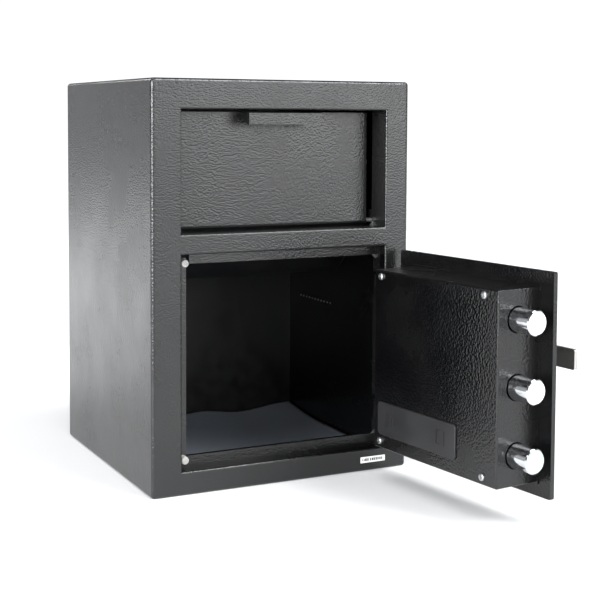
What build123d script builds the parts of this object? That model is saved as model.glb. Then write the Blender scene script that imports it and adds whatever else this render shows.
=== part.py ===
from build123d import *
import os
from math import cos, radians, sin

# Front-loading depository drop safe: a sheet-steel cabinet with a tilting deposit hopper above
# and a bolt-work door below. Millimetres, +Z up, the front faces -Y.
# The origin is the centre of the base, on its underside, and of the four anchor holes in it.

# Cabinet
WIDTH, DEPTH, HEIGHT = 350.0, 340.0, 500.0
SHEET = 2.5
EDGE_R = 4.5
FRONT = -DEPTH / 2
BACK = DEPTH / 2
OPENING_X = (-137.0, 142.0)
DOOR_OPENING_Z = (29.0, 290.5)
HOPPER_OPENING_Z = (314.5, 463.5)
BEND_R = 2.2

# Door opening: a lip bent back from the front, then a jamb whose flange turns back again to
# make the strike that the bolts catch behind
LIP_DEPTH = 13.0
SEAM_WIDTH, SEAM_DEPTH = 0.8, 1.4
FLANGE_FACE = 25.0
STRIKE_DEPTH = 31.2
FLANGE_X = (-122.0, OPENING_X[1])
FLANGE_Z = (41.5, 277.0)
CORNER_SLIT = 4.0
CORNER_NOTCH_Z = 284.5
ARM_SLOT_GAP = 1.5
WELD_LEG = 5.0

# Rubber bumpers on the flange
BUMPER_X, BUMPER_R, BUMPER_STEM_R = -127.3, 4.7, 2.2
BUMPER_Z = (38.7, 278.6)
BUMPER_PROUD = 0.6

# Anchor holes and floor mat
ANCHOR_X, ANCHOR_Y, ANCHOR_R = 157.0, 120.0, 6.0
MAT_WIDTH, MAT_DEPTH, MAT_THICK = 340.0, 292.0, 3.0
MAT_CENTRE_Y = 20.5
MAT_HOLE_R = 10.0

# Serial label on the front, below the door
SERIAL_X, SERIAL_Z, SERIAL_THICK = (108.0, 144.0), (11.0, 18.7), 0.25

# Small welds in a row along the right wall
STUD_Z, STUD_R, STUD_PROUD = 187.0, 1.3, 0.8
STUD_Y, STUD_COUNT = (36.0, 130.0), 11

# Door hinge: a vertical axis hidden behind the right front strip, reached by gooseneck arms
HINGE_X, HINGE_Y = 160.0, -161.0
OPEN_DEG = 96.4
PIN_R = 3.0
RUNNING_GAP = 0.05
KNUCKLE_R = 4.8
ARM_THICK = 4.0
ARM_Z = ((62.0, 90.0), (225.0, 253.0))
ARM_ROUTE = ((HINGE_X, HINGE_Y), (162.7, -135.0), (104.0, -131.6), (104.0, -157.0))
EAR_THICK, EAR_GAP = 3.0, 0.5
EAR_WIDTH, EAR_DEPTH, EAR_CORNER_R = 25.0, 16.0, 6.0
PIN_HEAD_R, PIN_HEAD, PIN_TAIL = 4.5, 2.0, 2.5

# Door plate and the bolt-work cover on its inner face, modelled with the door closed
PLATE_X = (-135.8, 139.6)
PLATE_Z = (30.2, 285.6)
PLATE_Y = (-163.0, -157.0)
COVER_X = (-114.4, 111.7)
COVER_Z = (46.2, 267.4)
COVER_Y = -95.8
COVER_SHEET = 1.5
COVER_FOOT = 2.5
SCREW_X = (-91.4, 98.9)
SCREW_Z = (55.4, 259.6)

# Bolt work
BOLT_Z = (80.8, 157.5, 233.2)
BOLT_R = 14.2
BOLT_HOLE_GAP = 1.2
LABEL_R = 12.4
BOLT_Y = -124.0
BOLT_TIP_X = -145.4
BOLT_TAIL_X = -75.0
BOLT_TRAVEL = 29.0
BAR_THICK = 4.0
TONGUE_Y = (-140.0, -137.0)
TONGUE_Z = (146.0, 172.0)
TONGUE_END_X = -15.0
GUIDE_X, GUIDE_Z, GUIDE_BACK_Y = (-108.0, -104.0), (63.0, 252.0), -103.0
GUIDE_FOOT = 16.0
STICKER_THICK = 0.2

# Lever, spindle and crank
HUB_X, HUB_Z = -16.4, 180.2
LEVER_TURN = 75.0
CRANK_R = BOLT_TRAVEL / 2 / sin(radians(LEVER_TURN / 2))
CRANK_PIN_R = 4.0
SLOT_SLACK = 0.7
SPINDLE_R = 5.0
LEVER_TIP_X = -118.4
LEVER_Y = (-213.3, -208.0)
LEVER_HEIGHT = 23.6
CRANK_Y = (PLATE_Y[1] + 7, PLATE_Y[1] + 12)

# Solenoid that blocks the carriage
SOLENOID_X, SOLENOID_Z = -56.0, 158.0
PLUNGER_R = 3.0

# Battery bay
BATTERY_COVER_X = (-46.4, 101.6)
BATTERY_COVER_Z = (64.0, 105.0)
BATTERY_COVER_THICK = 2.0
BATTERY_COVER_GAP = 0.05
MARK_BARS = ((86.0, 20.0), (79.5, 17.0), (73.5, 13.0), (67.5, 8.0))
MARK_BAR_WIDTH, MARK_PROUD = 1.3, 0.6
MARK_FRAME_X, MARK_FRAME_HEIGHT = (-27.0, -12.0), 17.0
TRAY_X = (-38.0, 98.0)
TRAY_Z = (67.0, 102.0)
TRAY_FLOOR_Y = -117.0
CELL_R, CELL_LENGTH = 7.1, 50.0
CONTACT_THICK = 0.6

# Lock board, and its parts as (x span, z span, height)
BOARD_X, BOARD_Z = (22.0, 90.0), (112.0, 206.0)
BOARD_LIFT, BOARD_THICK, BOARD_POST_R = 6.0, 1.6, 2.5
CHIPS = (
    ((34, 46), (150, 162), 1.6),
    ((56, 80), (176, 192), 9.0),
    ((30, 44), (184, 198), 5.0),
    ((60, 84), (122, 129), 7.0),
    ((60, 66), (150, 168), 2.2),
)

# Keypad on the outer face
KEYPAD_X = (28.0, 104.0)
KEYPAD_Z = (112.0, 246.0)
KEYPAD_Y = (-185.0, PLATE_Y[0])
KEYPAD_WALL = 2.5
KEY_SIZE = (14.6, 10.6)
KEY_GAP = 0.25
KEY_PITCH = (20.5, 18.0)
KEY_GRID_X, KEY_GRID_Z = 66.0, 190.0
KEY_NAMES = "1 2 3 4 5 6 7 8 9 clear 0 enter".split()
LOCK_X, LOCK_Z, LOCK_R, PLUG_R = 66.0, 137.0, 9.0, 6.0
BOSS_Z = (121.0, 238.0)

# Hopper
HOPPER_X, HOPPER_MIDDLE = 135.5, 1.0
HOPPER_SHEET = 2.0
HOPPER_CORNER_R = 8.0
PANEL_Y = -136.0
PANEL_TOP_Z = 460.5
CURL_R = 5.0
ROD_Y, ROD_Z, ROD_R = PANEL_Y + CURL_R, 321.5, 3.0
TRAY_SLOPE = 40.0
TRAY_LENGTH = 112.0
HANDLE_X = (-47.5, 51.5)
HANDLE_Z = (445.5, 460.8)
HANDLE_Y = -165.0
HOPPER_WALL_BACK_Y = -134.0
EAR_BACK_Y, EAR_TOP_Z = -122.0, 335.0
SILL_BACK_Y = -135.0
BAFFLE_Y = -22.0
BAFFLE_BOTTOM_Z = 336.0
BAFFLE_HALF, BAFFLE_TEETH, BAFFLE_TOOTH = 165.0, 15, 9.0
BAFFLE_SHEET, BAFFLE_FOOT = 2.0, 22.0
CLIP_R, CLIP_LENGTH, CLIP_BORE = 6.5, 4.0, 2.5

parts = {}


def block(x, y, z):
    """A box between two values along each axis."""
    size = [b - a for a, b in (x, y, z)]
    centre = [(a + b) / 2 for a, b in (x, y, z)]
    return Pos(*centre) * Box(*size)


def rod(radius, start, end):
    """A round bar from one point to another."""
    run = Vector(*end) - Vector(*start)
    base = Plane(origin=start, z_dir=run)
    return base * Cylinder(radius, run.length, align=(Align.CENTER, Align.CENTER, Align.MIN))


def rod_y(radius, x, z, y0, y1):
    """A round bar along Y, from y0 to the larger y1."""
    return rod(radius, (x, y0, z), (x, y1, z))


def rod_x(radius, y, z, x0, x1):
    """A round bar along X."""
    return rod(radius, (x0, y, z), (x1, y, z))


def prism_x(points, x0, x1):
    """A polygon given as (y, z) points, extruded from x0 to x1."""
    face = Plane(origin=(x0, 0, 0), x_dir=(0, 1, 0), z_dir=(1, 0, 0)) * make_face(
        Polyline(*points, close=True)
    )
    return extrude(face, x1 - x0)


def slot_face(points, width):
    """A strip that follows points, with round bends and ends."""
    face = Sketch()
    for a, b in zip(points, points[1:]):
        run = Vector(*b) - Vector(*a)
        middle = (Vector(*a) + Vector(*b)) / 2
        turn = Vector(1, 0).get_signed_angle(run, Vector(0, 0, 1))
        face += Pos(middle.X, middle.Y) * Rot(0, 0, turn) * Rectangle(run.length, width)
    for p in points:
        face += Pos(*p) * Circle(width / 2)
    return face


def front_face(y):
    """The plane at depth y whose sketch axes are world X and Z, and whose normal is -Y."""
    return Plane(origin=(0, y, 0), x_dir=(1, 0, 0), z_dir=(0, -1, 0))


def plate_y(face, y0, y1):
    """A sketch in world X and Z, made into a plate between two depths."""
    return extrude(front_face(y1) * face, y1 - y0)


def edges_at(shape, axis, value, inside=None):
    """Edges that lie in one plane, and between two values of X if inside is given."""
    found = shape.edges().filter_by_position(axis, value - 0.01, value + 0.01)
    if inside is None:
        return found
    return [e for e in found if inside[0] <= e.center().X <= inside[1]]


def grown(span, amount):
    """A pair of values spread outwards at both ends."""
    return (span[0] - amount, span[1] + amount)


def made(name, *solids):
    """Files the solids of one sub-part under its name."""
    parts[name] = solids[0] if len(solids) == 1 else Compound(children=list(solids))


# ---------------------------------------------------------------- cabinet


def arm_slots(y0, y1):
    """The clearances in the hinge-side return that the gooseneck arms swing through."""
    x = (OPENING_X[1] - SHEET - 1, OPENING_X[1] + SHEET + 1)
    return [block(x, (y0, y1), grown(z, ARM_SLOT_GAP)) for z in ARM_Z]


def cabinet_shell():
    """Front, sides, top and bottom as one welded skin, open at the back."""
    half = WIDTH / 2
    outer = block((-half, half), (FRONT, BACK), (0, HEIGHT))
    outer = fillet([e for e in outer.edges() if e.center().Y < BACK - 1], EDGE_R)
    inner = block((SHEET - half, half - SHEET), (FRONT + SHEET, BACK + 1), (SHEET, HEIGHT - SHEET))
    inner = fillet([e for e in inner.edges() if e.center().Y < BACK], EDGE_R - SHEET)
    shell = outer - inner
    rear = FRONT + LIP_DEPTH
    shell += block(grown(OPENING_X, SHEET), (FRONT + SHEET / 2, rear), grown(DOOR_OPENING_Z, SHEET))
    for z in (DOOR_OPENING_Z, HOPPER_OPENING_Z):
        shell -= block(OPENING_X, (FRONT - 1, rear + 1), z)
    shell = fillet(edges_at(shell, Axis.Y, FRONT, grown(OPENING_X, 0.1)), BEND_R)
    shell -= block(
        grown(OPENING_X, SEAM_DEPTH), (rear - SEAM_WIDTH, rear + 1), grown(DOOR_OPENING_Z, SEAM_DEPTH)
    )
    for cut in arm_slots(FRONT + 4, rear + 1):
        shell -= cut
    for x in (-ANCHOR_X, ANCHOR_X):
        for y in (-ANCHOR_Y, ANCHOR_Y):
            shell -= rod(ANCHOR_R, (x, y, -1), (x, y, SHEET + 1))
    return shell


def back_panel():
    """The rear plate, welded inside the skin's rear edge."""
    half = WIDTH / 2 - SHEET
    panel = block((-half, half), (BACK - SHEET, BACK), (SHEET, HEIGHT - SHEET))
    return fillet(panel.edges().filter_by(Axis.Y), EDGE_R - SHEET)


def door_jamb():
    """The inner return of the door opening, with the flange and strike that hold the bolts."""
    front, face, rear = FRONT + LIP_DEPTH, FRONT + FLANGE_FACE, FRONT + STRIKE_DEPTH
    jamb = block(grown(OPENING_X, SHEET), (front, rear), grown(DOOR_OPENING_Z, SHEET))
    jamb -= block(OPENING_X, (front - 1, face), DOOR_OPENING_Z)
    jamb -= block(FLANGE_X, (front, rear + 1), FLANGE_Z)
    outside = block((-WIDTH, WIDTH), (face + SHEET, rear + 1), (0, HEIGHT))
    jamb -= outside - block(grown(FLANGE_X, SHEET), (face, rear + 2), grown(FLANGE_Z, SHEET))
    slit = (FLANGE_X[0], FLANGE_X[0] + CORNER_SLIT)
    jamb -= block(slit, (face - 1, rear + 1), (FLANGE_Z[1] - 1, DOOR_OPENING_Z[1]))
    notch = (OPENING_X[0], FLANGE_X[0] + CORNER_SLIT)
    jamb -= block(notch, (face - 1, rear + 1), (CORNER_NOTCH_Z, DOOR_OPENING_Z[1]))
    for cut in arm_slots(front - 1, rear + 1):
        jamb -= cut
    for z in BUMPER_Z:
        jamb -= rod_y(BUMPER_STEM_R, BUMPER_X, z, front, rear + 1)
    return jamb


def corner_welds():
    """Small triangular welds in the hinge-side corners of the flange and of the upper opening."""
    face = FRONT + FLANGE_FACE
    places = [(OPENING_X[1], FLANGE_Z[0], 1, face), (OPENING_X[1], FLANGE_Z[1], -1, face)]
    places.append((OPENING_X[1], HOPPER_OPENING_Z[0], 1, HOPPER_WALL_BACK_Y - 4))
    out = []
    for x, z, up, y in places:
        corners = [(x, z), (x - WELD_LEG, z), (x, z + up * WELD_LEG)]
        out.append(plate_y(make_face(Polyline(*corners, close=True)), y, y + SHEET / 2))
    return out


def door_bumpers():
    """Rubber buttons on the flange that cushion the closed door."""
    face = FRONT + FLANGE_FACE
    tip = PLATE_Y[1] + BUMPER_PROUD
    out = []
    for z in BUMPER_Z:
        head = rod_y(BUMPER_R, BUMPER_X, z, tip, face)
        head = fillet(edges_at(head, Axis.Y, tip), 1.2)
        out.append(head + rod_y(BUMPER_STEM_R, BUMPER_X, z, face, face + SHEET + 1))
    return out


def hopper_frame():
    """The lining of the upper opening, with an ear at each side that carries the pivot rod."""
    low, high = HOPPER_OPENING_Z
    y = (FRONT + SHEET, EAR_BACK_Y)
    outer_x = grown(OPENING_X, SHEET)
    ring = block(outer_x, y, grown(HOPPER_OPENING_Z, SHEET))
    ring -= block(OPENING_X, grown(y, 1), HOPPER_OPENING_Z)
    ring -= block(OPENING_X, (SILL_BACK_Y, y[1] + 1), (low - SHEET - 1, low + 1))
    ring -= block(grown(outer_x, 1), (HOPPER_WALL_BACK_Y, y[1] + 1), (EAR_TOP_Z, high + SHEET + 1))
    return ring - rod_x(ROD_R, ROD_Y, ROD_Z, outer_x[0] - 1, outer_x[1] + 1)


def pivot_rod():
    """The rod that the hopper turns on."""
    return rod_x(ROD_R, ROD_Y, ROD_Z, *grown(OPENING_X, SHEET + CLIP_BORE))


def rod_clips():
    """Push-on caps that keep the pivot rod in its two holes."""
    out = []
    for side, wall in ((-1, OPENING_X[0] - SHEET), (1, OPENING_X[1] + SHEET)):
        a, b = wall, wall + side * CLIP_LENGTH
        cap = rod_x(CLIP_R, ROD_Y, ROD_Z, min(a, b), max(a, b))
        cap = fillet(edges_at(cap, Axis.X, b), 1.5)
        inner = wall + side * CLIP_BORE
        out.append(cap - rod_x(ROD_R, ROD_Y, ROD_Z, min(a, inner), max(a, inner)))
    return out


def anti_fish_baffle():
    """A toothed plate hanging behind the hopper, which the open hopper's tray closes against."""
    half = BAFFLE_HALF
    pitch = 2 * half / BAFFLE_TEETH
    outline = [(-half, HEIGHT - SHEET), (half, HEIGHT - SHEET)]
    for i in range(BAFFLE_TEETH):
        x = half - i * pitch
        outline += [(x, BAFFLE_BOTTOM_Z), (x - pitch / 2, BAFFLE_BOTTOM_Z + BAFFLE_TOOTH)]
    outline.append((-half, BAFFLE_BOTTOM_Z))
    face = make_face(Polyline(*outline, close=True))
    plate = plate_y(face, BAFFLE_Y, BAFFLE_Y + BAFFLE_SHEET)
    z = (HEIGHT - SHEET - BAFFLE_SHEET, HEIGHT - SHEET)
    foot = block((-half, half), (BAFFLE_Y, BAFFLE_Y + BAFFLE_FOOT), z)
    return plate + foot


def hinge_brackets():
    """Pairs of ears behind the right front strip, one pair for each arm."""
    x0, y0 = OPENING_X[1] + SHEET, FRONT + SHEET
    ear = block((x0, x0 + EAR_WIDTH), (y0, y0 + EAR_DEPTH), (0, EAR_THICK))
    corner = ear.edges().filter_by(Axis.Z).sort_by(Axis.Y)[-2:].sort_by(Axis.X)[-1:]
    ear = fillet(corner, EAR_CORNER_R)
    ear -= rod(PIN_R, (HINGE_X, HINGE_Y, -1), (HINGE_X, HINGE_Y, EAR_THICK + 1))
    levels = []
    for low, high in ARM_Z:
        levels += [low - EAR_GAP - EAR_THICK, high + EAR_GAP]
    return [Pos(0, 0, z) * ear for z in levels]


def hinge_pins():
    """Headed pins that hang the door's arms between the ears."""
    out = []
    for low, high in ARM_Z:
        bottom, top = low - EAR_GAP - EAR_THICK - PIN_TAIL, high + EAR_GAP + EAR_THICK
        pin = rod(PIN_R, (HINGE_X, HINGE_Y, bottom), (HINGE_X, HINGE_Y, top))
        head = rod(PIN_HEAD_R, (HINGE_X, HINGE_Y, top), (HINGE_X, HINGE_Y, top + PIN_HEAD))
        out.append(pin + head)
    return out


def floor_mat():
    """The felt mat on the floor, with holes over the anchor holes."""
    mat = block(
        (-MAT_WIDTH / 2, MAT_WIDTH / 2),
        (MAT_CENTRE_Y - MAT_DEPTH / 2, MAT_CENTRE_Y + MAT_DEPTH / 2),
        (SHEET, SHEET + MAT_THICK),
    )
    for x in (-ANCHOR_X, ANCHOR_X):
        for y in (-ANCHOR_Y, ANCHOR_Y):
            mat -= rod(MAT_HOLE_R, (x, y, 0), (x, y, SHEET + MAT_THICK + 1))
    return mat


def weld_studs():
    """A row of small welds along the inside of the right wall."""
    wall = WIDTH / 2 - SHEET
    pitch = (STUD_Y[1] - STUD_Y[0]) / (STUD_COUNT - 1)
    places = [STUD_Y[0] + i * pitch for i in range(STUD_COUNT)]
    return [rod_x(STUD_R, y, STUD_Z, wall - STUD_PROUD, wall) for y in places]


def build_cabinet():
    """Everything that stays with the cabinet."""
    made("cabinet_shell", cabinet_shell())
    made("back_panel", back_panel())
    made("door_jamb", *door_jamb().solids())
    made("corner_welds", *corner_welds())
    made("door_bumpers", *door_bumpers())
    made("hopper_frame", hopper_frame())
    made("hopper_pivot_rod", pivot_rod())
    made("pivot_rod_clips", *rod_clips())
    made("anti_fish_baffle", anti_fish_baffle())
    made("hinge_brackets", *hinge_brackets())
    made("hinge_pins", *hinge_pins())
    made("floor_mat", floor_mat())
    made("wall_weld_studs", *weld_studs())
    made("serial_label", block(SERIAL_X, (FRONT - SERIAL_THICK, FRONT), SERIAL_Z))


# ---------------------------------------------------------------- hopper


def tray_point(along, up):
    """A (y, z) point on the tray: distance down its slope from the rod, and height above it."""
    c, s = cos(radians(TRAY_SLOPE)), sin(radians(TRAY_SLOPE))
    return (ROD_Y + along * c + up * s, ROD_Z - along * s + up * c)


def hopper_panel():
    """The front panel and its two side wings, bent from one sheet and curled round the rod."""
    back, low = ROD_Y + TRAY_LENGTH, ROD_Z - TRAY_LENGTH
    z = (low, PANEL_TOP_Z)
    outer = block((-HOPPER_X, HOPPER_X), (PANEL_Y, back), z)
    outer = fillet(outer.edges().filter_by(Axis.Z).sort_by(Axis.Y)[:2], HOPPER_CORNER_R)
    inner_x, inner_y = HOPPER_X - HOPPER_SHEET, PANEL_Y + HOPPER_SHEET
    inner = block((-inner_x, inner_x), (inner_y, back + 1), (low - 1, PANEL_TOP_Z + 1))
    bend = HOPPER_CORNER_R - HOPPER_SHEET
    inner = fillet(inner.edges().filter_by(Axis.Z).sort_by(Axis.Y)[:2], bend)
    side = [
        (PANEL_Y, ROD_Z),
        (PANEL_Y, PANEL_TOP_Z),
        (PANEL_Y + 16, PANEL_TOP_Z),
        (PANEL_Y + 32, PANEL_TOP_Z - 24),
        tray_point(TRAY_LENGTH, 8),
        tray_point(TRAY_LENGTH, -CURL_R),
        tray_point(0, -CURL_R),
    ]
    edge = HOPPER_X + 1
    sheet = (outer - inner) & (
        prism_x(side, -edge, edge) + rod_x(CURL_R, ROD_Y, ROD_Z, -edge, edge)
    )
    curl_x = HOPPER_X - 8
    sheet += rod_x(CURL_R, ROD_Y, ROD_Z, -curl_x, curl_x)
    return sheet - rod_x(ROD_R + RUNNING_GAP, ROD_Y, ROD_Z, -edge, edge)


def hopper_tray():
    """The sloping floor between the wings, with a stiffening lip at its rear."""
    top, bottom = HOPPER_SHEET - CURL_R, -CURL_R
    profile = [tray_point(0, bottom), tray_point(TRAY_LENGTH, bottom)]
    profile += [tray_point(TRAY_LENGTH, top), tray_point(0, top)]
    inner_x = HOPPER_X - HOPPER_SHEET
    tray = prism_x(profile, -inner_x, inner_x)
    return tray - rod_x(CURL_R, ROD_Y, ROD_Z, -HOPPER_X, HOPPER_X)


def hopper_handle():
    """The bent pull lip with closed ends, at the top of the panel."""
    x0, x1 = HANDLE_X
    z0, z1 = HANDLE_Z
    profile = [(HANDLE_Y, z0), (HANDLE_Y, z1), (PANEL_Y, z1), (PANEL_Y, z1 - 7), (HANDLE_Y + 6, z0)]
    outer = prism_x(profile, x0, x1)
    outer = fillet(outer.edges().filter_by(Axis.X).group_by(Axis.Y)[0].sort_by(Axis.Z)[-1:], 2.2)
    hollow = [
        (HANDLE_Y + 2, z0 - 9),
        (HANDLE_Y + 2, z1 - 2),
        (PANEL_Y + 1, z1 - 2),
        (PANEL_Y + 1, z0 - 9),
    ]
    return outer - prism_x(hollow, x0 + 2, x1 - 2)


def build_hopper():
    """The tilting scoop."""
    made("hopper_panel", Pos(HOPPER_MIDDLE, 0, 0) * hopper_panel())
    made("hopper_tray", Pos(HOPPER_MIDDLE, 0, 0) * hopper_tray())
    made("hopper_handle", hopper_handle())


# ---------------------------------------------------------------- door


def door_plate():
    """The outer door plate."""
    plate = block(PLATE_X, PLATE_Y, PLATE_Z)
    plate = fillet(plate.edges().filter_by(Axis.Y), 2)
    plate = fillet(edges_at(plate, Axis.Y, PLATE_Y[0]), 0.6)
    y0, y1 = PLATE_Y[0] - 1, PLATE_Y[1] + 1
    plate -= rod_y(8, HUB_X, HUB_Z, y0, y1)
    plate -= rod_y(6, LOCK_X, KEY_GRID_Z, y0, y1)
    for z in BOSS_Z:
        plate -= rod_y(2.3, LOCK_X, z, y0, y1)
    return plate


def bolt_cover():
    """The pressed cover over the bolt work, with round windows for the bolts."""
    y = (PLATE_Y[1], COVER_Y)
    outer = block(COVER_X, y, COVER_Z)
    outer = fillet(edges_at(outer, Axis.Y, COVER_Y), 2)
    outer = fillet(outer.edges().filter_by(Axis.Y), 1.5)
    t = COVER_SHEET
    inner = block(
        (COVER_X[0] + t, COVER_X[1] - t), (y[0] - 1, y[1] - t), (COVER_Z[0] + t, COVER_Z[1] - t)
    )
    foot = block(grown(COVER_X, COVER_FOOT), (y[0], y[0] + t), grown(COVER_Z, COVER_FOOT))
    cover = outer + fillet(foot.edges().filter_by(Axis.Y), 2) - inner
    for z in BOLT_Z:
        cover -= rod_x(BOLT_R + BOLT_HOLE_GAP, BOLT_Y, z, COVER_X[0] - 1, COVER_X[0] + t + 1)
    for low, high in ARM_Z:
        cover -= block((COVER_X[1] - t - 1, COVER_X[1] + 1), (-138, -127), (low - 1, high + 1))
    for x in SCREW_X:
        for z in SCREW_Z:
            cover -= rod_y(2.2, x, z, COVER_Y - t - 1, COVER_Y + 1)
    return cover - block(
        (TRAY_X[0] + 2, TRAY_X[1] - 2), (COVER_Y - t - 1, COVER_Y + 1), (TRAY_Z[0] + 2, TRAY_Z[1] - 2)
    )


def cover_posts():
    """Standoffs on the door plate that the cover screws into."""
    top = COVER_Y - COVER_SHEET
    out = []
    for x in SCREW_X:
        for z in SCREW_Z:
            out.append(rod_y(5, x, z, PLATE_Y[1], top) - rod_y(2, x, z, top - 14, top + 1))
    return out


def pan_screw(x, z, y, head_r, shank_r, length):
    """A cross-head screw whose head stands towards +Y from depth y."""
    head = rod_y(head_r, x, z, y, y + head_r * 0.6)
    head = fillet(edges_at(head, Axis.Y, y + head_r * 0.6), head_r * 0.35)
    span, wide = head_r * 1.1, head_r * 0.26
    top = y + head_r * 0.6
    for dx, dz in ((span, wide), (wide, span)):
        head -= block(
            (x - dx / 2, x + dx / 2), (top - head_r * 0.35, top + 1), (z - dz / 2, z + dz / 2)
        )
    return head + rod_y(shank_r, x, z, y - length, y)


def hinge_arms():
    """Gooseneck arms from the hinge pins to the door plate."""
    out = []
    face = slot_face(ARM_ROUTE[:3], ARM_THICK) + slot_face(ARM_ROUTE[2:], ARM_THICK)
    face += Pos(HINGE_X, HINGE_Y) * Circle(KNUCKLE_R)
    face -= Pos(HINGE_X, HINGE_Y) * Circle(PIN_R + RUNNING_GAP)
    face -= Pos(ARM_ROUTE[3][0], PLATE_Y[1] - 5) * Rectangle(20, 10)
    for low, high in ARM_Z:
        out.append(Pos(0, 0, low) * extrude(face, high - low))
    return out


def bolt_guide():
    """The angle that carries the three bolts just inside the cover's free side."""
    low, high = GUIDE_X
    web = block(GUIDE_X, (PLATE_Y[1], GUIDE_BACK_Y), GUIDE_Z)
    foot = block((high, high + GUIDE_FOOT), (PLATE_Y[1], PLATE_Y[1] + high - low), GUIDE_Z)
    guide = web + foot
    for z in BOLT_Z:
        guide -= rod_x(BOLT_R + RUNNING_GAP, BOLT_Y, z, low - 1, high + 1)
    return guide


def battery_tray():
    """The plastic cell holder that hangs behind the window in the cover."""
    y = (TRAY_FLOOR_Y, COVER_Y - COVER_SHEET)
    tray = block(TRAY_X, y, TRAY_Z)
    tray = fillet(edges_at(tray, Axis.Y, TRAY_FLOOR_Y), 2)
    inner = block((TRAY_X[0] + 2, TRAY_X[1] - 2), (y[0] + 2, y[1] + 1), (TRAY_Z[0] + 2, TRAY_Z[1] - 2))
    rib_z = sum(TRAY_Z) / 2
    far, near = contact_places()
    rib = block((far + 1, near - 1), (y[0] + 1, y[0] + 7), (rib_z - 0.8, rib_z + 0.8))
    return tray - inner + rib


def cell_rows():
    """The (x, z) centre of each battery cell."""
    first = TRAY_X[1] - 4.5 - CELL_LENGTH / 2
    middle = sum(TRAY_Z) / 2
    return [(first - i * (CELL_LENGTH + 1), middle + s * 8.1) for i in range(2) for s in (-1, 1)]


def battery_cells():
    """Four AA cells with their positive caps."""
    y = TRAY_FLOOR_Y + 2.2 + CELL_R
    out = []
    for x, z in cell_rows():
        cell = rod_x(CELL_R, y, z, x - CELL_LENGTH / 2, x + CELL_LENGTH / 2 - 1)
        cell = fillet(cell.edges().filter_by(GeomType.CIRCLE), 0.6)
        out.append(cell + rod_x(2.7, y, z, x + CELL_LENGTH / 2 - 2, x + CELL_LENGTH / 2))
    return out


def contact_places():
    """The x of the inner face of each contact plate."""
    return (TRAY_X[1] - 4.5 - 2 * CELL_LENGTH - 2.2, TRAY_X[1] - 2 - CONTACT_THICK)


def battery_contacts():
    """Spring plates at the two ends of the cell rows."""
    y = (TRAY_FLOOR_Y + 3, TRAY_FLOOR_Y + 15)
    z = (TRAY_Z[0] + 4, TRAY_Z[1] - 4)
    far, near = contact_places()
    return [block((near, near + CONTACT_THICK), y, z), block((far - CONTACT_THICK, far), y, z)]


def battery_cover():
    """The sliding lid over the cells, with raised bars at one end and a small frame at the other."""
    low = COVER_Y + BATTERY_COVER_GAP
    y = (low, low + BATTERY_COVER_THICK)
    lid = block(BATTERY_COVER_X, y, BATTERY_COVER_Z)
    lid = fillet(lid.edges().filter_by(Axis.Y), 5)
    lid = fillet(edges_at(lid, Axis.Y, y[1]), 0.8)
    z = sum(BATTERY_COVER_Z) / 2
    marks = Sketch()
    for x, height in MARK_BARS:
        marks += Pos(x, z) * Rectangle(MARK_BAR_WIDTH, height)
    wide = MARK_FRAME_X[1] - MARK_FRAME_X[0]
    frame = Rectangle(wide, MARK_FRAME_HEIGHT) - Rectangle(wide - 2, MARK_FRAME_HEIGHT - 2)
    marks += Pos(sum(MARK_FRAME_X) / 2, z) * frame
    return lid + plate_y(marks, y[1] - 0.2, y[1] + MARK_PROUD)


def lock_board():
    """The lock's circuit board on four short standoffs."""
    y = PLATE_Y[1] + BOARD_LIFT
    board = block(BOARD_X, (y, y + BOARD_THICK), BOARD_Z)
    for x in grown(BOARD_X, -4):
        for z in grown(BOARD_Z, -4):
            board += rod_y(BOARD_POST_R, x, z, PLATE_Y[1], y)
    return board


def board_components():
    """Chips, a relay and the connector on the circuit board."""
    y = PLATE_Y[1] + BOARD_LIFT + BOARD_THICK
    return [block(x, (y, y + tall), z) for x, z, tall in CHIPS]


def solenoid_body():
    """The coil housing that holds the blocking plunger."""
    y0, y1 = PLATE_Y[1], TONGUE_Y[0] - 1
    can = rod_y(9, SOLENOID_X, SOLENOID_Z, y0, y1)
    can = fillet(edges_at(can, Axis.Y, y1), 0.8)
    return can - rod_y(PLUNGER_R + RUNNING_GAP, SOLENOID_X, SOLENOID_Z, y0 + 1.5, y1 + 1)


def solenoid_plunger():
    """The blocking pin, drawn back into its coil."""
    y0, y1 = PLATE_Y[1] + 2, TONGUE_Y[0] - 0.8
    pin = rod_y(PLUNGER_R, SOLENOID_X, SOLENOID_Z, y0, y1)
    return chamfer(edges_at(pin, Axis.Y, y1), 0.6)


def key_places():
    """Each key's name and its (x, z) centre, row by row from the top left."""
    out = []
    for i, name in enumerate(KEY_NAMES):
        row, column = divmod(i, 3)
        x = KEY_GRID_X + (column - 1) * KEY_PITCH[0]
        out.append((name, x, KEY_GRID_Z + (1.5 - row) * KEY_PITCH[1]))
    return out


def lamp_places():
    """The (x, z) centres of the three lamps above the keys."""
    return [(KEY_GRID_X + s * 10, KEYPAD_Z[1] - 10) for s in (-1, 0, 1)]


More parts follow.
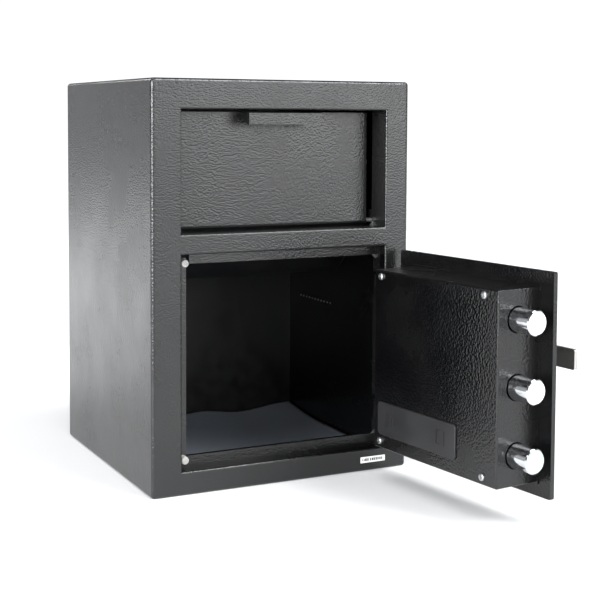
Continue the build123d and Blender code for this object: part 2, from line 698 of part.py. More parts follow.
def keypad_housing():
    """The moulded keypad case on the outer face of the door."""
    outer = block(KEYPAD_X, KEYPAD_Y, KEYPAD_Z)
    outer = fillet(outer.edges().filter_by(Axis.Y), 8)
    outer = fillet(edges_at(outer, Axis.Y, KEYPAD_Y[0]), 3)
    w = KEYPAD_WALL
    inner = block(
        (KEYPAD_X[0] + w, KEYPAD_X[1] - w),
        (KEYPAD_Y[0] + w, KEYPAD_Y[1] + 1),
        (KEYPAD_Z[0] + w, KEYPAD_Z[1] - w),
    )
    case = outer - fillet(inner.edges().filter_by(Axis.Y), 8 - w)
    for z in BOSS_Z:
        case += rod_y(4.5, LOCK_X, z, KEYPAD_Y[0] + w - 0.5, KEYPAD_Y[1])
        case -= rod_y(2, LOCK_X, z, KEYPAD_Y[1] - 10, KEYPAD_Y[1] + 1)
    front = (KEYPAD_Y[0] - 1, KEYPAD_Y[0] + w + 0.5)
    for _, x, z in key_places():
        dx, dz = KEY_SIZE[0] / 2 + KEY_GAP, KEY_SIZE[1] / 2 + KEY_GAP
        hole = block((x - dx, x + dx), front, (z - dz, z + dz))
        case -= fillet(hole.edges().filter_by(Axis.Y), 2)
    for x, z in lamp_places():
        case -= rod_y(2, x, z, *front)
    return case - rod_y(LOCK_R, LOCK_X, LOCK_Z, *front)


def key_cap(x, z):
    """One key: a dished cap with a retaining flange behind the case wall."""
    y0 = KEYPAD_Y[0] - 1.8
    dx, dz = KEY_SIZE[0] / 2, KEY_SIZE[1] / 2
    cap = block((x - dx, x + dx), (y0, KEYPAD_Y[0] + KEYPAD_WALL + 2), (z - dz, z + dz))
    cap = fillet(cap.edges().filter_by(Axis.Y), 1.8)
    cap = fillet(edges_at(cap, Axis.Y, y0), 0.7)
    flange_y = KEYPAD_Y[0] + KEYPAD_WALL + 0.2
    return cap + block(
        (x - dx - 1.2, x + dx + 1.2), (flange_y, flange_y + 1.8), (z - dz - 1.2, z + dz + 1.2)
    )


def key_cylinder():
    """The override lock's fixed barrel."""
    barrel = rod_y(LOCK_R, LOCK_X, LOCK_Z, KEYPAD_Y[0] - 1.5, PLATE_Y[0] - 1)
    barrel = fillet(edges_at(barrel, Axis.Y, KEYPAD_Y[0] - 1.5), 1)
    return barrel - rod_y(PLUG_R + RUNNING_GAP, LOCK_X, LOCK_Z, KEYPAD_Y[0] - 3, PLATE_Y[0] - 3)


def key_plug():
    """The override lock's turning plug, with its keyway."""
    y0 = KEYPAD_Y[0] - 1.7
    plug = rod_y(PLUG_R, LOCK_X, LOCK_Z, y0, PLATE_Y[0] - 3.2)
    return plug - block((LOCK_X - 0.7, LOCK_X + 0.7), (y0 - 1, y0 + 14), (LOCK_Z - 4, LOCK_Z + 4))


def keypad_screws():
    """Screws from inside the door that hold the keypad case."""
    return [pan_screw(LOCK_X, z, PLATE_Y[1], 3.6, 2, 14) for z in BOSS_Z]


def keypad_lamps():
    """Three lamp lenses above the keys."""
    y0, y1 = KEYPAD_Y[0] - 0.4, KEYPAD_Y[0] + KEYPAD_WALL + 0.5
    return [fillet(edges_at(rod_y(2, x, z, y0, y1), Axis.Y, y0), 0.3) for x, z in lamp_places()]


def washer(outer_r, inner_r, y0, y1):
    """A ring round the lever's spindle."""
    return rod_y(outer_r, HUB_X, HUB_Z, y0, y1) - rod_y(inner_r, HUB_X, HUB_Z, y0 - 1, y1 + 1)


def lever_escutcheon():
    """The round rose on the outer face, under the lever's hub."""
    y0 = PLATE_Y[0] - 6
    rose = washer(21, 8, y0, PLATE_Y[0])
    return fillet([e for e in edges_at(rose, Axis.Y, y0) if e.radius > 10], 2.5)


def spindle_bush():
    """The plain bearing that carries the spindle through the plate."""
    bush = washer(8, SPINDLE_R + RUNNING_GAP, PLATE_Y[0] - 6, PLATE_Y[1])
    return bush + washer(11, SPINDLE_R + RUNNING_GAP, PLATE_Y[1], PLATE_Y[1] + 3)


def crank_pin_place():
    """The (x, z) centre of the crank's pin with the bolts thrown."""
    swing = radians(LEVER_TURN / 2)
    return (HUB_X - CRANK_R * sin(swing), HUB_Z - CRANK_R * cos(swing))


def lever_crank():
    """The crank arm on the spindle's inner end."""
    face = slot_face([(HUB_X, HUB_Z), crank_pin_place()], 13)
    face += Pos(HUB_X, HUB_Z) * Circle(9.5)
    face -= Pos(HUB_X, HUB_Z) * Circle(SPINDLE_R)
    return plate_y(face, *CRANK_Y)


def lever_crank_pin():
    """The pin that drives the slot in the bolt carriage."""
    x, z = crank_pin_place()
    return rod_y(CRANK_PIN_R, x, z, CRANK_Y[1], TONGUE_Y[1] + 3)


def lever_spindle():
    """The round spindle from the lever to the crank."""
    return rod_y(SPINDLE_R, HUB_X, HUB_Z, LEVER_Y[1] - 1, CRANK_Y[1])


def lever_handle():
    """A flat bar with a round boss that sleeves the spindle."""
    height = LEVER_HEIGHT / 2
    bar = Pos((LEVER_TIP_X + HUB_X) / 2, HUB_Z) * Rectangle(HUB_X - LEVER_TIP_X, LEVER_HEIGHT)
    bar += Pos(HUB_X, HUB_Z) * Circle(height + 2)
    handle = plate_y(bar, *LEVER_Y)
    tips = [e for e in handle.edges().filter_by(Axis.Y) if e.center().X < LEVER_TIP_X + 1]
    handle = fillet(tips, 3)
    handle = fillet(edges_at(handle, Axis.Y, LEVER_Y[0]), 1.2)
    boss_end = PLATE_Y[0] - 6.5
    handle += rod_y(height + 1.2, HUB_X, HUB_Z, LEVER_Y[1] - 1, boss_end)
    return handle - rod_y(SPINDLE_R, HUB_X, HUB_Z, LEVER_Y[1] - 1, boss_end + 1)


def locking_bolts():
    """Three round live bolts with chamfered tips."""
    out = []
    for z in BOLT_Z:
        bolt = rod_x(BOLT_R, BOLT_Y, z, BOLT_TIP_X, BOLT_TAIL_X)
        bolt = chamfer(edges_at(bolt, Axis.X, BOLT_TIP_X), 1.2)
        out.append(bolt - rod_x(4, BOLT_Y, z, BOLT_TAIL_X - 20, BOLT_TAIL_X + 1))
    return out


def bolt_end_labels(which):
    """Round stickers on the tips of the chosen bolts."""
    return [rod_x(LABEL_R, BOLT_Y, z, BOLT_TIP_X - STICKER_THICK, BOLT_TIP_X) for z in which]


def carriage():
    """The bar behind the bolts, with the slotted tongue that the crank drives."""
    x = (BOLT_TAIL_X, BOLT_TAIL_X + BAR_THICK)
    bar = block(x, (TONGUE_Y[0], -112), (72, 242))
    bar += block((x[1], TONGUE_END_X), TONGUE_Y, TONGUE_Z)
    for z in BOLT_Z:
        bar -= rod_x(4, BOLT_Y, z, x[0] - 1, x[1] + 1)
    pin_x, pin_z = crank_pin_place()
    low = HUB_Z - CRANK_R - 1
    slot = slot_face([(pin_x, low), (pin_x, pin_z + 1)], 2 * (CRANK_PIN_R + SLOT_SLACK))
    bar -= plate_y(slot, TONGUE_Y[0] - 1, TONGUE_Y[1] + 1)
    return bar - rod_y(
        PLUNGER_R + 0.5, SOLENOID_X, SOLENOID_Z, TONGUE_Y[0] - 1, TONGUE_Y[1] + 1
    )


def carriage_screws():
    """Hex screws that hold the bolts to the carriage."""
    x = BOLT_TAIL_X + BAR_THICK
    out = []
    for z in BOLT_Z:
        face = Plane(origin=(x, BOLT_Y, z), z_dir=(1, 0, 0)) * RegularPolygon(6.5, 6)
        out.append(extrude(face, 5) + rod_x(4, BOLT_Y, z, BOLT_TAIL_X - 18, x))
    return out


def build_door():
    """Everything that swings with the door, modelled closed."""
    made("door_plate", door_plate())
    made("bolt_cover", bolt_cover())
    made("cover_posts", *cover_posts())
    screws = [pan_screw(x, z, COVER_Y, 4.2, 2, 11) for x in SCREW_X for z in SCREW_Z]
    made("cover_screws", *screws)
    made("hinge_arms", *hinge_arms())
    made("bolt_guide", bolt_guide())
    made("battery_tray", battery_tray())
    made("battery_cells", *battery_cells())
    made("battery_contacts", *battery_contacts())
    made("battery_cover", battery_cover())
    made("lock_circuit_board", lock_board())
    made("board_components", *board_components())
    made("solenoid_body", solenoid_body())
    made("solenoid_plunger", solenoid_plunger())
    made("keypad_housing", keypad_housing())
    made("keypad_screws", *keypad_screws())
    made("keypad_lamps", *keypad_lamps())
    made("key_cylinder", key_cylinder())
    made("key_plug", key_plug())
    for name, x, z in key_places():
        made("key_" + name, key_cap(x, z))
    made("lever_escutcheon", lever_escutcheon())
    made("spindle_bush", spindle_bush())
    made("lever_handle", lever_handle())
    made("lever_spindle", lever_spindle())
    made("lever_crank", lever_crank())
    made("lever_crank_pin", lever_crank_pin())
    made("locking_bolts", *locking_bolts())
    made("bolt_labels_cream", *bolt_end_labels(BOLT_Z[1:]))
    made("bolt_label_green", *bolt_end_labels(BOLT_Z[:1]))
    made("bolt_carriage", carriage())
    made("carriage_screws", *carriage_screws())


def main():
    os.makedirs("parts", exist_ok=True)
    build_cabinet()
    build_hopper()
    fixed = set(parts)
    build_door()
    hinge = Pos(HINGE_X, HINGE_Y, 0)
    swing = hinge * Rot(0, 0, OPEN_DEG) * hinge.inverse()
    for name, shape in parts.items():
        export_step(shape if name in fixed else swing * shape, f"parts/{name}.step")


main()
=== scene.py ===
import bmesh
import bpy
from math import cos, pi, radians, sin
from mathutils import Matrix, Vector, noise


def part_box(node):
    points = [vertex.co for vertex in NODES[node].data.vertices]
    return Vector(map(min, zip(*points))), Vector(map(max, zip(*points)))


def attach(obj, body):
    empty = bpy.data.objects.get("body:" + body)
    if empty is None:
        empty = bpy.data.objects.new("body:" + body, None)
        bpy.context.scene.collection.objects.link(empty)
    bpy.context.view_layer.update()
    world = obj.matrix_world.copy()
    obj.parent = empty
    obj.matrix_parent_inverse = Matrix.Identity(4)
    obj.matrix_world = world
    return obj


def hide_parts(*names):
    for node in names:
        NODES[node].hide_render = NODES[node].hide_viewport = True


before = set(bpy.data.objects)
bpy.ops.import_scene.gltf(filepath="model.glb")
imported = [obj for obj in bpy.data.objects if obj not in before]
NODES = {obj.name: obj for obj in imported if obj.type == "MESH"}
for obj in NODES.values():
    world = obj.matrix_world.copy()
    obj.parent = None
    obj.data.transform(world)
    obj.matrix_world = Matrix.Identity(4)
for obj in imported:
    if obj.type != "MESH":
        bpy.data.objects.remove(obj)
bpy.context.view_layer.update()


# ---------------------------------------------------------------- camera and studio

IMAGE = 600.0
SENSOR = 36.0


def make_camera():
    """The viewing angle: from the front left, a little above the top of the cabinet."""
    azimuth, pitch, roll = radians(26.656), radians(3.709), radians(0.28)
    focal, distance, horizon = 1269.0, 1.7594, 200.0
    ahead = Vector((sin(azimuth) * cos(pitch), cos(azimuth) * cos(pitch), -sin(pitch)))
    level = Vector((cos(azimuth), -sin(azimuth), 0))
    over = level.cross(ahead)
    right = cos(roll) * level + sin(roll) * over
    up = cos(roll) * over - sin(roll) * level
    camera = bpy.data.objects.new("camera", bpy.data.cameras.new("camera"))
    place = Vector((0.10448, 0, 0.34001)) - distance * ahead
    turn = Matrix((right, up, -ahead)).transposed().to_4x4()
    camera.matrix_world = Matrix.Translation(place) @ turn
    camera.data.sensor_width = SENSOR
    camera.data.lens = focal / IMAGE * SENSOR
    camera.data.shift_y = (horizon - IMAGE / 2) / IMAGE
    camera.data.clip_end = 60
    bpy.context.scene.collection.objects.link(camera)
    bpy.context.scene.camera = camera


# Where the surround is bright: direction, half angles of full and of no light, and strength
GLOWS = (
    ((-0.47, 0.88, 0.02), 15, 42, 0.22),
    ((0.47, -0.88, 0.06), 16, 36, 0.85),
    ((-0.91, -0.40, 0.05), 12, 30, 7.0),
    ((0.98, 0.15, 0.10), 10, 30, 0.5),
    ((0.45, -0.50, 0.74), 8, 20, 6.0),
)
# The surround's strength elsewhere, and the strength that the camera sees
SHADE, BACKDROP = 0.03, 0.40
SURROUND_COLOUR = (0.97, 0.985, 1, 1)
EXPOSURE = 1.45

# Soft boxes: name, place, aim, side length in metres, power in watts
BOXES = (
    ("overhead", (-0.5, -0.4, 2.4), (0.05, 0, 0.2), 1.7, 10),
    ("rear_floor", (-1.2, 2.2, 1.6), (-0.9, 1.9, 0), 0.8, 15),
    ("front", (-0.5, -3.0, 1.3), (0.0, 0, 0.1), 1.2, 11),
    ("right_front", (1.6, -3.0, 0.9), (0.1, -0.2, 0.3), 1.4, 8),
)
FLOOR_HALF = 6.0


def world_math(tree, operation, *values):
    """One maths node in the surround's tree."""
    made = tree.nodes.new("ShaderNodeMath")
    made.operation = operation
    for socket, value in zip(made.inputs, values):
        if isinstance(value, bpy.types.NodeSocket):
            tree.links.new(value, socket)
        else:
            socket.default_value = value
    return made.outputs[0]


def make_world():
    """The surround: plain white to the camera, dim with bright patches to light and reflections."""
    world = bpy.data.worlds.new("studio")
    bpy.context.scene.world = world
    world.use_nodes = True
    tree = world.node_tree
    shader = tree.nodes["Background"]
    way = tree.nodes.new("ShaderNodeTexCoord").outputs["Generated"]
    total = SHADE
    for direction, full, none, strength in GLOWS:
        dot = tree.nodes.new("ShaderNodeVectorMath")
        dot.operation = "DOT_PRODUCT"
        tree.links.new(way, dot.inputs[0])
        dot.inputs[1].default_value = Vector(direction).normalized()
        glow = tree.nodes.new("ShaderNodeMapRange")
        glow.interpolation_type = "SMOOTHSTEP"
        tree.links.new(dot.outputs["Value"], glow.inputs["Value"])
        glow.inputs["From Min"].default_value = cos(radians(none))
        glow.inputs["From Max"].default_value = cos(radians(full))
        glow.inputs["To Max"].default_value = strength
        total = world_math(tree, "ADD", glow.outputs["Result"], total)
    seen = tree.nodes.new("ShaderNodeLightPath").outputs["Is Camera Ray"]
    unseen = world_math(tree, "SUBTRACT", 1.0, seen)
    lit = world_math(tree, "MULTIPLY", total, unseen)
    white = world_math(tree, "MULTIPLY", seen, BACKDROP)
    tree.links.new(world_math(tree, "ADD", lit, white), shader.inputs["Strength"])
    shader.inputs["Color"].default_value = SURROUND_COLOUR


def make_studio():
    """A pale floor under soft boxes: overhead, in front, right front, and over the rear floor."""
    scene = bpy.context.scene
    scene.view_settings.view_transform = "Standard"
    scene.view_settings.exposure = EXPOSURE
    for name, place, aim, size, power in BOXES:
        light = bpy.data.lights.new(name, "AREA")
        light.size = size
        light.energy = power
        lamp = bpy.data.objects.new(name, light)
        lamp.location = place
        lamp.rotation_euler = (Vector(aim) - Vector(place)).to_track_quat("-Z", "Y").to_euler()
        scene.collection.objects.link(lamp)
    mesh = bpy.data.meshes.new("floor")
    half = FLOOR_HALF
    corners = [(-half, -half, 0), (half, -half, 0), (half, half, 0), (-half, half, 0)]
    mesh.from_pydata(corners, [], [(0, 1, 2, 3)])
    floor = bpy.data.objects.new("floor", mesh)
    scene.collection.objects.link(floor)
    paper = bpy.data.materials.new("studio_paper")
    paper.use_nodes = True
    shader = paper.node_tree.nodes["Principled BSDF"]
    shader.inputs["Base Color"].default_value = (0.88, 0.885, 0.89, 1)
    shader.inputs["Roughness"].default_value = 0.8
    floor.data.materials.append(paper)


# ---------------------------------------------------------------- material helpers


class Graph:
    """A short way to build one material's nodes."""

    def __init__(self, name):
        self.material = bpy.data.materials.new(name)
        self.material.use_nodes = True
        self.tree = self.material.node_tree
        self.shader = self.tree.nodes["Principled BSDF"]
        self.coord = self.tree.nodes.new("ShaderNodeTexCoord").outputs["Object"]

    def node(self, kind, **values):
        """A new node: attributes by name, inputs as a dict called inputs."""
        inputs = values.pop("inputs", {})
        made = self.tree.nodes.new(kind)
        for key, value in values.items():
            setattr(made, key, value)
        for key, value in inputs.items():
            self.feed(made.inputs[key], value)
        return made

    def feed(self, socket, value):
        """Links a socket, or sets a plain value on it."""
        if isinstance(value, bpy.types.NodeSocket):
            self.tree.links.new(value, socket)
        else:
            socket.default_value = value

    def set(self, **values):
        """Sets the shader's sockets; underscores in a name stand for spaces."""
        for key, value in values.items():
            self.feed(self.shader.inputs[key.replace("_", " ")], value)

    def noise(self, scale, detail=3.0, roughness=0.55, vector=None):
        """Fractal noise from 0 to 1."""
        inputs = {"Vector": vector or self.coord, "Scale": scale}
        inputs.update({"Detail": detail, "Roughness": roughness})
        return self.node("ShaderNodeTexNoise", inputs=inputs).outputs["Fac"]

    def cells(self, scale):
        """Slightly smoothed pebble cells, as distance from each centre."""
        inputs = {"Vector": self.coord, "Scale": scale, "Smoothness": 0.25, "Randomness": 1.0}
        made = self.node("ShaderNodeTexVoronoi", feature="SMOOTH_F1", inputs=inputs)
        return made.outputs["Distance"]

    def math(self, operation, a, b=0.0):
        """One maths node."""
        made = self.node("ShaderNodeMath", operation=operation)
        for socket, value in zip(made.inputs, (a, b)):
            self.feed(socket, value)
        return made.outputs[0]

    def span(self, value, low, high, to_low=0.0, to_high=1.0):
        """A value's range stretched to another and clamped."""
        inputs = {"Value": value, "From Min": low, "From Max": high}
        inputs.update({"To Min": to_low, "To Max": to_high})
        return self.node("ShaderNodeMapRange", inputs=inputs).outputs["Result"]

    def mix(self, factor, a, b):
        """A blend of two colours."""
        made = self.node("ShaderNodeMix", data_type="RGBA")
        for socket, value in zip((made.inputs[0], made.inputs[6], made.inputs[7]), (factor, a, b)):
            self.feed(socket, value)
        return made.outputs[2]

    def split(self):
        """The x, y and z of the object's own coordinates."""
        return self.node("ShaderNodeSeparateXYZ", inputs={"Vector": self.coord}).outputs

    def bump(self, height, distance, strength=1.0, below=None):
        """Relief on the shader's normal, over another relief if below is given."""
        inputs = {"Height": height, "Distance": distance, "Strength": strength}
        if below:
            inputs["Normal"] = below
        return self.node("ShaderNodeBump", inputs=inputs).outputs["Normal"]


# ---------------------------------------------------------------- materials


# The cabinet's inner faces lie between these limits, in metres; there the shell's coat is darkened
# to near black as painted shade
INSIDE_X, INSIDE_FRONT, INSIDE_Z = 0.1735, -0.1685, (0.0015, 0.4985)
SMUDGE_COLOUR = (0.012, 0.012, 0.011, 1)
DUST_COLOUR = (0.16, 0.16, 0.15, 1)
# Near-black colour for the cabinet's inner faces: painted shade for the dark interior
INSIDE_SHADE_COLOUR = (0.0006, 0.0006, 0.0007, 1)


def hammertone(name, tone, pebble=420.0, relief=0.00026, gloss=0.20, inside=False):
    """Pebbled gloss powder coat with faint smudges and dust; with inside set, the cabinet's inner
    faces are smoother and painted near black as painted shade.
    """
    g = Graph(name)
    smudge = g.noise(9.0, 4.0, 0.6)
    cloud = g.noise(3.1, 2.0)
    dust = g.span(g.noise(620.0, 1.0), 0.72, 0.80, 0.0, 1.0)
    dust = g.math("MULTIPLY", dust, g.span(g.noise(14.0), 0.5, 0.66))
    base = g.mix(g.span(cloud, 0.35, 0.65), tone, tuple(1.5 * c for c in tone[:3]) + (1,))
    base = g.mix(g.span(smudge, 0.56, 0.74, 0.0, 0.30), base, SMUDGE_COLOUR)
    base = g.mix(g.math("MULTIPLY", dust, 0.4), base, DUST_COLOUR)
    cells = g.cells(pebble)
    raised = tuple(2.2 * c for c in tone[:3]) + (1,)
    base = g.mix(g.span(cells, 0.15, 0.6), base, raised)
    grain = g.noise(pebble * 2.3, 2.0)
    height = g.math("ADD", g.math("MULTIPLY", cells, -1.0), g.math("MULTIPLY", grain, 0.35))
    rough = g.span(smudge, 0.3, 0.75, gloss - 0.04, gloss + 0.14)
    strength = 1.0
    if inside:
        # Painted shade: the cabinet's inner faces are darkened to near black, and their pebble
        # relief is softened
        x, y, z = g.split()
        inside_shade_mask = g.math("LESS_THAN", g.math("ABSOLUTE", x), INSIDE_X)
        inside_shade_mask = g.math("MULTIPLY", inside_shade_mask, g.math("GREATER_THAN", y, INSIDE_FRONT))
        inside_shade_mask = g.math("MULTIPLY", inside_shade_mask, g.math("GREATER_THAN", z, INSIDE_Z[0]))
        inside_shade_mask = g.math("MULTIPLY", inside_shade_mask, g.math("LESS_THAN", z, INSIDE_Z[1]))
        base = g.mix(inside_shade_mask, base, INSIDE_SHADE_COLOUR)
        strength = g.span(inside_shade_mask, 0, 1, 1.0, 0.3)
    g.set(Base_Color=base, Roughness=rough, IOR=1.52)
    g.set(Normal=g.bump(height, relief, strength))
    return g.material


def smooth_black():
    """Thin black paint on the inner sheet-metal pieces, with light runs."""
    g = Graph("smooth_black_paint")
    runs = g.noise(55.0, 3.0)
    base = g.mix(g.span(runs, 0.4, 0.7), (0.001, 0.001, 0.0011, 1), (0.003, 0.003, 0.003, 1))
    g.set(Base_Color=base, Roughness=g.span(runs, 0.3, 0.7, 0.34, 0.48))
    g.set(Normal=g.bump(g.noise(260.0), 0.00006))
    return g.material


def metal(name, colour, rough, streak=(1.0, 1.0, 1.0), scale=900.0, relief=0.00002, spots=0.12):
    """Bright metal with fine tool marks along one way and faint cloudy handling marks."""
    g = Graph(name)
    stretch = g.node("ShaderNodeMapping", inputs={"Vector": g.coord, "Scale": streak}).outputs[0]
    marks = g.noise(scale, 2.0, vector=stretch)
    cloud = g.noise(60.0, 3.0)
    dim = tuple(0.78 * c for c in colour[:3]) + (1,)
    base = g.mix(g.span(cloud, 0.45, 0.75), colour, dim)
    g.set(Base_Color=base, Metallic=1.0)
    g.set(Roughness=g.span(marks, 0.3, 0.7, rough, rough + spots))
    g.set(Normal=g.bump(marks, relief))
    return g.material


def plastic(name, colour, rough=0.45, grain=900.0, relief=0.00005):
    """Moulded plastic with a fine spark-eroded grain and slightly polished high spots."""
    g = Graph(name)
    cloud = g.noise(24.0, 3.0)
    worn = tuple(min(1.0, 1.5 * c + 0.004) for c in colour[:3]) + (1,)
    g.set(Base_Color=g.mix(g.span(cloud, 0.45, 0.8, 0, 0.6), colour, worn))
    g.set(Roughness=g.span(cloud, 0.3, 0.7, rough - 0.07, rough + 0.08))
    g.set(Normal=g.bump(g.noise(grain, 3.0), relief))
    return g.material


def rubber():
    """Light grey moulded rubber, slightly dirty."""
    g = Graph("bumper_rubber")
    dirt = g.noise(300.0, 4.0)
    g.set(Base_Color=g.mix(g.span(dirt, 0.4, 0.75), (0.46, 0.46, 0.44, 1), (0.30, 0.30, 0.28, 1)))
    g.set(Roughness=0.62, Normal=g.bump(g.noise(1500.0), 0.00006))
    return g.material


def felt():
    """Needle-punched felt: tangled fibres, soft nap and paler lint."""
    g = Graph("mat_felt")
    waves = g.noise(38.0, 3.0)
    bend = g.node("ShaderNodeMapping", inputs={"Vector": g.coord, "Scale": (1.0, 0.22, 1.0)})
    fibre = g.noise(2300.0, 4.0, 0.7, bend.outputs[0])
    cross = g.node("ShaderNodeMapping", inputs={"Vector": g.coord, "Scale": (0.22, 1.0, 1.0)})
    other = g.noise(2100.0, 4.0, 0.7, cross.outputs[0])
    tangle = g.math("MULTIPLY", g.math("ADD", fibre, other), 0.5)
    base = g.mix(g.span(tangle, 0.36, 0.64), (0.30, 0.32, 0.38, 1), (0.62, 0.66, 0.76, 1))
    base = g.mix(g.span(waves, 0.35, 0.7, 0, 0.45), base, (0.36, 0.37, 0.44, 1))
    g.set(Base_Color=base, Roughness=0.95, Sheen_Weight=0.35, Sheen_Roughness=0.5)
    g.set(Normal=g.bump(tangle, 0.0006, 0.8, g.bump(waves, 0.0012, 0.5)))
    return g.material


def paper(name, colour):
    """Sticker stock with a faint tooth."""
    g = Graph(name)
    tooth = g.noise(900.0, 3.0)
    dim = tuple(0.86 * c for c in colour[:3]) + (1,)
    g.set(Base_Color=g.mix(g.span(tooth, 0.35, 0.7), colour, dim), Roughness=0.5)
    g.set(Normal=g.bump(tooth, 0.00003))
    return g.material


def printed_label():
    """White label stock with a row of plain dark marks that spell nothing."""
    g = Graph("serial_label_print")
    low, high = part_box("serial_label")
    x, _, z = g.split()
    across = g.span(x, low.x, high.x)
    upward = g.span(z, low.z, high.z)
    count = 13.0
    place = g.math("FRACT", g.math("MULTIPLY", across, count))
    wide = g.node("ShaderNodeTexWhiteNoise", noise_dimensions="1D")
    g.feed(wide.inputs["W"], g.math("FLOOR", g.math("MULTIPLY", across, count)))
    mark = g.math("LESS_THAN", place, g.span(wide.outputs["Value"], 0, 1, 0.35, 0.85))
    for edge, sense, value in (
        (across, "GREATER_THAN", 0.07),
        (across, "LESS_THAN", 0.93),
        (upward, "GREATER_THAN", 0.28),
        (upward, "LESS_THAN", 0.72),
    ):
        mark = g.math("MULTIPLY", mark, g.math(sense, edge, value))
    g.set(Base_Color=g.mix(mark, (0.85, 0.85, 0.83, 1), (0.02, 0.02, 0.022, 1)), Roughness=0.4)
    return g.material


def battery_wrap():
    """Shrink-wrapped cell with a copper-coloured band at one end."""
    g = Graph("cell_wrap")
    _, y, _ = g.split()
    band = g.math("GREATER_THAN", g.math("FRACT", g.math("MULTIPLY", y, 1 / 0.051)), 0.72)
    base = g.mix(band, (0.012, 0.012, 0.014, 1), (0.32, 0.17, 0.07, 1))
    g.set(Base_Color=base, Roughness=g.span(g.noise(90.0), 0.3, 0.7, 0.22, 0.34))
    return g.material


def solder_mask():
    """Green circuit board with paler tracks."""
    g = Graph("circuit_board_mask")
    tracks = g.node("ShaderNodeTexBrick", inputs={"Vector": g.coord, "Scale": 90.0})
    g.feed(tracks.inputs["Color1"], (0.012, 0.07, 0.03, 1))
    g.feed(tracks.inputs["Color2"], (0.016, 0.09, 0.04, 1))
    g.feed(tracks.inputs["Mortar"], (0.05, 0.16, 0.07, 1))
    g.set(Base_Color=tracks.outputs["Color"], Roughness=g.span(g.noise(200.0), 0, 1, 0.25, 0.4))
    return g.material


def lens():
    """Tinted lamp lens."""
    g = Graph("lamp_lens")
    ring = g.noise(700.0, 2.0)
    g.set(Base_Color=g.mix(ring, (0.22, 0.02, 0.015, 1), (0.30, 0.04, 0.03, 1)))
    g.set(Roughness=0.15, Coat_Weight=0.6)
    return g.material


def key_face(node):
    """A grey key with a plain dot in its middle."""
    g = Graph("finish_" + node)
    low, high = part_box(node)
    _, y, z = g.split()
    middle = (low + high) / 2
    dy = g.math("SUBTRACT", y, middle.y)
    dz = g.math("SUBTRACT", z, middle.z)
    reach = g.math("SQRT", g.math("ADD", g.math("POWER", dy, 2.0), g.math("POWER", dz, 2.0)))
    dot = g.math("LESS_THAN", reach, 0.0013)
    cloud = g.noise(70.0, 3.0)
    base = g.mix(g.span(cloud, 0.4, 0.7), (0.11, 0.115, 0.12, 1), (0.15, 0.155, 0.16, 1))
    g.set(Base_Color=g.mix(dot, base, (0.55, 0.56, 0.55, 1)), Roughness=0.42)
    g.set(Normal=g.bump(g.noise(1100.0), 0.00004))
    return g.material


def assign(material, *names):
    """Gives CAD nodes a material."""
    for name in names:
        data = NODES[name].data
        data.materials.clear()
        data.materials.append(material)


# The diffuse colour of the black coat: nearly all of its tone is what it reflects
COAT = (0.0022, 0.0023, 0.0024, 1)


def finish_nodes():
    """A material for every CAD node."""
    # The shell's inner faces get painted shade through inside=True
    shell = hammertone("cabinet_hammertone_inside_shade", COAT, inside=True)
    assign(shell, "cabinet_shell")
    coat = hammertone("hammertone_coat", COAT)
    assign(coat, "hopper_panel", "hopper_handle", "door_jamb", "lever_escutcheon")
    assign(hammertone("dusty_hammertone", (0.0045, 0.0045, 0.0045, 1)), "hopper_frame")
    door = hammertone("door_hammertone", (0.0008, 0.0008, 0.0009, 1), pebble=330.0)
    assign(door, "door_plate", "bolt_cover")
    dark = smooth_black()
    assign(dark, "back_panel", "anti_fish_baffle", "hopper_tray", "bolt_guide")
    assign(dark, "hinge_arms", "hinge_brackets")
    chrome = metal("bolt_chrome", (0.62, 0.63, 0.65, 1), 0.06, (1, 0.05, 1), 700.0, 0.00003, 0.10)
    assign(chrome, "locking_bolts")
    zinc_and_weld_highlight = metal("bright_zinc_and_weld_highlight", (0.55, 0.56, 0.56, 1), 0.24)
    assign(zinc_and_weld_highlight, "hinge_pins", "hopper_pivot_rod", "pivot_rod_clips", "cover_posts")
    assign(zinc_and_weld_highlight, "cover_screws", "carriage_screws", "bolt_carriage", "keypad_screws")
    assign(zinc_and_weld_highlight, "battery_contacts", "solenoid_body", "solenoid_plunger")
    # The corner welds are coated weld beads; giving them bright zinc paints on the highlight they
    # catch
    assign(zinc_and_weld_highlight, "wall_weld_studs", "corner_welds")
    assign(zinc_and_weld_highlight, "lever_crank", "lever_crank_pin", "lever_spindle", "key_cylinder")
    satin = metal("satin_nickel", (0.50, 0.49, 0.47, 1), 0.30, (1, 1, 0.06), 1100.0, 0.00004)
    assign(satin, "lever_handle")
    assign(metal("machined_brass", (0.50, 0.37, 0.15, 1), 0.28), "spindle_bush", "key_plug")
    assign(rubber(), "door_bumpers")
    assign(felt(), "floor_mat")
    black = plastic("black_plastic", (0.010, 0.010, 0.011, 1))
    assign(black, "battery_tray", "battery_cover", "keypad_housing", "board_components")
    assign(printed_label(), "serial_label")
    assign(paper("cream_sticker", (0.86, 0.86, 0.78, 1)), "bolt_labels_cream")
    assign(paper("green_sticker", (0.38, 0.60, 0.42, 1)), "bolt_label_green")
    assign(battery_wrap(), "battery_cells")
    assign(solder_mask(), "lock_circuit_board")
    assign(lens(), "keypad_lamps")
    for name in NODES:
        if name.startswith("key_") and name not in ("key_cylinder", "key_plug"):
            assign(key_face(name), name)


# ---------------------------------------------------------------- floor mat


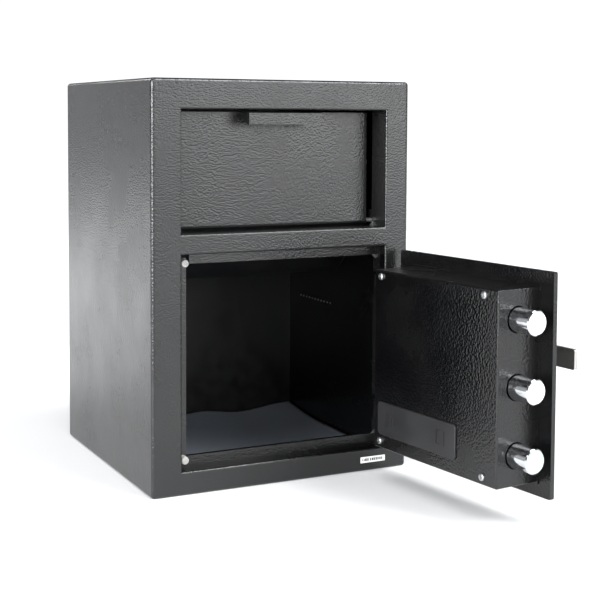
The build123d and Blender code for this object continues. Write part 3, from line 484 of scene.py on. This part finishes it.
def link(name, mesh, body, material):
    """A new piece that rides on a body."""
    piece = bpy.data.objects.new(name, mesh)
    bpy.context.scene.collection.objects.link(piece)
    piece.data.materials.append(material)
    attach(piece, body)
    return piece


# The felt as laid: faces along each side, thickness, and the heights of its ripple and curls
MAT_STEPS = 60
MAT_THICK = 0.0022
MAT_RIPPLE, REAR_CURL, SIDE_CURL = 0.0014, 0.011, 0.003
REAR_CURL_START, SIDE_CURL_START = 0.60, 0.86
MAT_EDGE_WANDER = 0.0012


def mat_height(u, v):
    """How far the laid felt lifts off the floor: soft ripples, and curls at its rear and right."""
    ripple = 0.5 + 0.5 * noise.noise(Vector((3.1 * u, 2.3 * v, 0.4)))
    rear = max(0.0, (v - REAR_CURL_START) / (1.0 - REAR_CURL_START))
    side = max(0.0, (u - SIDE_CURL_START) / (1.0 - SIDE_CURL_START))
    wave = 0.45 + 0.55 * sin(2.0 * pi * (1.35 * u - 0.02)) ** 2
    return MAT_RIPPLE * ripple + REAR_CURL * rear**2 * wave + SIDE_CURL * side**2


def make_mat():
    """The felt mat as a laid sheet with rippled edges, cut from a flat rectangle."""
    low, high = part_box("floor_mat")
    mesh = bpy.data.meshes.new("felt_mat")
    form = bmesh.new()
    grid = []
    for j in range(MAT_STEPS + 1):
        row = []
        for i in range(MAT_STEPS + 1):
            u, v = i / MAT_STEPS, j / MAT_STEPS
            x = low.x + (high.x - low.x) * u
            y = low.y + (high.y - low.y) * v
            edge = MAT_EDGE_WANDER * noise.noise(Vector((9 * u, 9 * v, 2.2)))
            z = low.z + MAT_THICK / 2 + mat_height(u, v)
            row.append(form.verts.new((x + edge, y + edge, z)))
        grid.append(row)
    for a, b in zip(grid, grid[1:]):
        for i in range(MAT_STEPS):
            form.faces.new((a[i], a[i + 1], b[i + 1], b[i]))
    form.to_mesh(mesh)
    form.free()
    for face in mesh.polygons:
        face.use_smooth = True
    mat = link("felt_mat", mesh, "cabinet", bpy.data.materials["mat_felt"])
    solid = mat.modifiers.new("thickness", "SOLIDIFY")
    solid.thickness = MAT_THICK
    solid.offset = 0
    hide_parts("floor_mat")


make_camera()
make_world()
make_studio()
finish_nodes()
make_mat()
